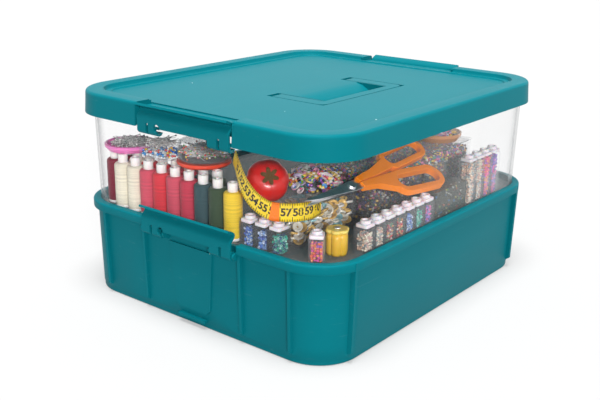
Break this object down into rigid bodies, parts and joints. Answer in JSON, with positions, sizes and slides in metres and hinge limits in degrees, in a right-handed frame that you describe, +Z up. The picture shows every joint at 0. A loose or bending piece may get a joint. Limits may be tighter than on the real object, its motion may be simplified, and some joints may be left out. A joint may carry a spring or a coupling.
{
  "type": "thread spool storage box",
  "caption": "Stacking sewing box with an opaque base, a clear tray of threads and notions, a lid with a fold-flat handle and snap latches at both ends.",
  "frame": {"origin": "centre of the flat underside of the base", "axes": "+Z up, +X along the long side towards one pair of latches, the front long side faces -Y"},
  "size_m": [0.3648, 0.312, 0.1956],
  "materials": {
    "teal_plastic": "satin moulded polypropylene",
    "clear_plastic": "clear moulded plastic",
    "white_plastic": "white moulded plastic",
    "maroon_thread": "wound thread",
    "cream_thread": "wound thread",
    "red_thread": "wound thread",
    "pink_thread": "wound thread",
    "rose_thread": "wound thread",
    "slate_thread": "wound thread",
    "olive_thread": "wound thread",
    "yellow_thread": "wound thread",
    "pink_plastic": "glossy",
    "steel_pins": "loose pins",
    "orange_red_plastic": "glossy",
    "red_cushion": "satin cloth over stuffing",
    "dark_leaf": "felt and pins",
    "yellow_tape": "coated tape",
    "orange_grip": "moulded grips",
    "blade_steel": "polished steel",
    "blue_beads": "loose beads",
    "teal_beads": "loose beads",
    "red_beads": "loose beads",
    "orange_beads": "loose beads",
    "purple_beads": "loose beads",
    "cream_beads": "loose beads",
    "yellow_plastic": "glossy",
    "gold_buttons": "loose buttons",
    "mixed_beads": "mixed beads and sequins",
    "smoked_plastic": "smoked clear plastic",
    "orange_clear": "translucent"
  },
  "bodies": {
    "base": {"base_box": "teal_plastic"},
    "tray": {"clear_tray": "clear_plastic", "spool_bobbins": "white_plastic", "thread_maroon": "maroon_thread", "thread_cream": "cream_thread", "thread_red": "red_thread", "thread_pink": "pink_thread", "thread_rose": "rose_thread", "thread_slate": "slate_thread", "thread_olive": "olive_thread", "thread_yellow": "yellow_thread", "pin_dish": "pink_plastic", "dish_pins": "steel_pins", "pin_box": "clear_plastic", "pin_box_base": "orange_red_plastic", "box_pins": "steel_pins", "tomato_cushion": "red_cushion", "tomato_leaf": "dark_leaf", "tape_measure": "yellow_tape", "scissors_near_grip": "orange_grip", "scissors_near_blade": "blade_steel", "scissors_screw": "blade_steel", "vial_tubes": "clear_plastic", "vial_caps": "white_plastic", "beads_blue": "blue_beads", "beads_teal": "teal_beads", "beads_red": "red_beads", "beads_orange": "orange_beads", "beads_purple": "purple_beads", "beads_cream": "cream_beads", "flower_box": "yellow_plastic", "flower_box_lid": "yellow_plastic", "button_box": "clear_plastic", "button_box_lid": "clear_plastic", "box_buttons": "gold_buttons", "bead_heap": "mixed_beads", "bead_bin": "clear_plastic", "bin_beads": "mixed_beads", "bin_lid": "clear_plastic", "dark_bead_box": "smoked_plastic", "orange_dish": "orange_clear", "dish_beads": "mixed_beads"},
    "lid": {"lid": "teal_plastic"},
    "handle": {"carry_handle": "teal_plastic"},
    "base_latch_left": {"base_latch_left": "teal_plastic"},
    "base_latch_right": {"base_latch_right": "teal_plastic"},
    "lid_latch_left": {"lid_latch_left": "teal_plastic"},
    "lid_latch_right": {"lid_latch_right": "teal_plastic"},
    "scissors_far_half": {"scissors_far_grip": "orange_grip", "scissors_far_blade": "blade_steel"}
  },
  "joints": [
    {"name": "tray_lift", "type": "slide", "parent": "base", "child": "tray", "axis": [0, 0, 1], "range_m": [0, 0.05]},
    {"name": "lid_lift", "type": "slide", "parent": "tray", "child": "lid", "axis": [0, 0, 1], "range_m": [0, 0.05]},
    {"name": "handle_fold", "type": "hinge", "parent": "lid", "child": "handle", "pos_m": [0, 0, 0.1884], "axis": [-1, 0, 0], "range_deg": [0, 90]},
    {"name": "base_latch_left_swing", "type": "hinge", "parent": "base", "child": "base_latch_left", "pos_m": [-0.176, 0, 0.08], "axis": [0, -1, 0], "range_deg": [0, 160]},
    {"name": "base_latch_right_swing", "type": "hinge", "parent": "base", "child": "base_latch_right", "pos_m": [0.176, 0, 0.08], "axis": [0, 1, 0], "range_deg": [0, 160]},
    {"name": "lid_latch_left_swing", "type": "hinge", "parent": "tray", "child": "lid_latch_left", "pos_m": [-0.176, 0, 0.172], "axis": [0, -1, 0], "range_deg": [0, 160]},
    {"name": "lid_latch_right_swing", "type": "hinge", "parent": "tray", "child": "lid_latch_right", "pos_m": [0.176, 0, 0.172], "axis": [0, 1, 0], "range_deg": [0, 160]},
    {"name": "scissors_open", "type": "hinge", "parent": "tray", "child": "scissors_far_half", "pos_m": [-0.096, -0.1145, 0.134], "axis": [0, -0.5299, 0.848], "range_deg": [0, 12]}
  ],
  "couplings": [
    {"joint": "base_latch_left_swing", "follows": "tray_lift", "rad_per_m": 55.8},
    {"joint": "base_latch_right_swing", "follows": "tray_lift", "rad_per_m": 55.8},
    {"joint": "lid_latch_left_swing", "follows": "lid_lift", "rad_per_m": 55.8},
    {"joint": "lid_latch_right_swing", "follows": "lid_lift", "rad_per_m": 55.8}
  ]
}
